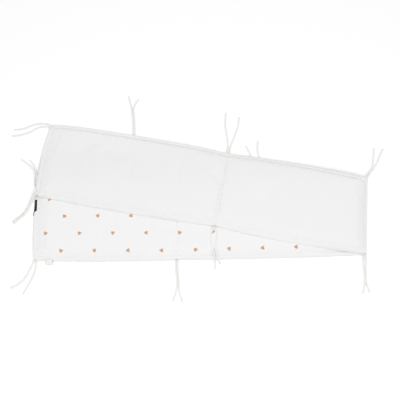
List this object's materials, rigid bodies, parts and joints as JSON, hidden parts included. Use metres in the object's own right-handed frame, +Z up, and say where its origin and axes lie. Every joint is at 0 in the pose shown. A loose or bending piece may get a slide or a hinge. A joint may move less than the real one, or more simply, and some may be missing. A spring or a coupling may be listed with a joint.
{
  "type": "crib bumper",
  "caption": "Padded fabric bumper for a small bed: a long strip of filled panels with a sewn edge binding and narrow ties, lying folded in two.",
  "frame": {"origin": "middle of the underside of the box round the pad, its binding and its tabs", "axes": "+Z up off the ground, +X along the folded strip towards its fold, +Y away from the side where the lower layer's printed face shows"},
  "size_m": [1.9735, 1.1247, 0.0478],
  "materials": {
    "pad_cloth": "plain woven cotton, matt",
    "binding_cloth": "plain woven cotton, matt",
    "tie_cloth": "folded and stitched cotton, matt",
    "black_tape": "woven tape"
  },
  "bodies": {
    "root": {"pad": "pad_cloth", "edge_binding": "binding_cloth", "side_tab": "black_tape", "edge_tab": "pad_cloth", "tie_fold_far_a": "tie_cloth", "tie_fold_far_b": "tie_cloth", "tie_fold_near_a": "tie_cloth", "tie_fold_near_b": "tie_cloth", "tie_lower_end_far_a": "tie_cloth", "tie_lower_end_far_b": "tie_cloth", "tie_lower_end_near_a": "tie_cloth", "tie_lower_end_near_b": "tie_cloth", "tie_lower_long_far_a": "tie_cloth", "tie_lower_long_far_b": "tie_cloth", "tie_lower_seam_far_a": "tie_cloth", "tie_lower_seam_far_b": "tie_cloth", "tie_lower_seam_near_a": "tie_cloth", "tie_lower_seam_near_b": "tie_cloth", "tie_upper_end_far_a": "tie_cloth", "tie_upper_end_far_b": "tie_cloth", "tie_upper_end_near_a": "tie_cloth", "tie_upper_end_near_b": "tie_cloth", "tie_upper_long_far_a": "tie_cloth", "tie_upper_long_far_b": "tie_cloth", "tie_upper_seam_far_a": "tie_cloth", "tie_upper_seam_far_b": "tie_cloth", "tie_upper_seam_near_a": "tie_cloth", "tie_upper_seam_near_b": "tie_cloth"}
  },
  "joints": []
}
